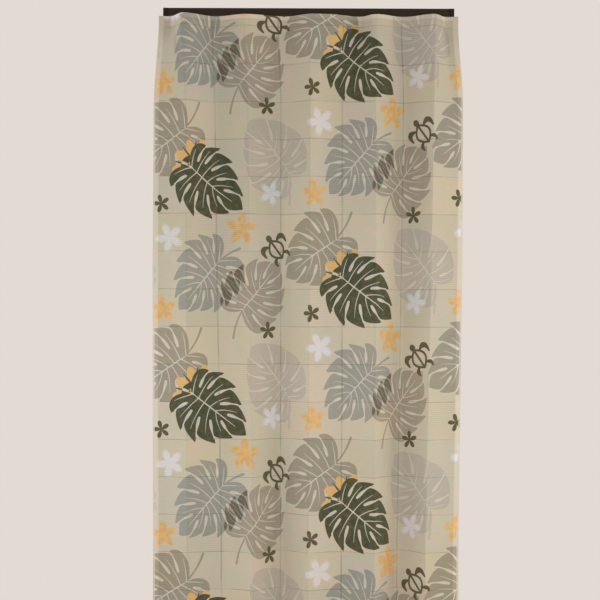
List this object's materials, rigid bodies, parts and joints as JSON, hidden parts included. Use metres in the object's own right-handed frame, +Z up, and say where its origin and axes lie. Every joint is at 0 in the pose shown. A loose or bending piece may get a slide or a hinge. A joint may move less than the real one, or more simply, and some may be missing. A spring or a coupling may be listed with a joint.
{
  "type": "lace partition curtain with its rail",
  "caption": "Sheer accordion-folded doorway curtain with a printed leaf pattern, hung in front of a short flat rail with end caps that is fixed under a door head.",
  "frame": {"origin": "middle of the rail's flat top face, where it is fixed under the door head", "axes": "+Z up out of the rail's top face, +X to the right along the rail seen from the front, -Y towards the viewer"},
  "size_m": [0.8728, 0.0813, 1.805],
  "materials": {
    "cloth": "light ribbed polyester weave, matt, with a printed leaf pattern",
    "rail": "dark brown, satin",
    "cap": "nearly black brown, satin"
  },
  "bodies": {
    "root": {"curtain": "cloth", "rail": "rail", "cap_left": "cap", "cap_right": "cap"}
  },
  "joints": []
}
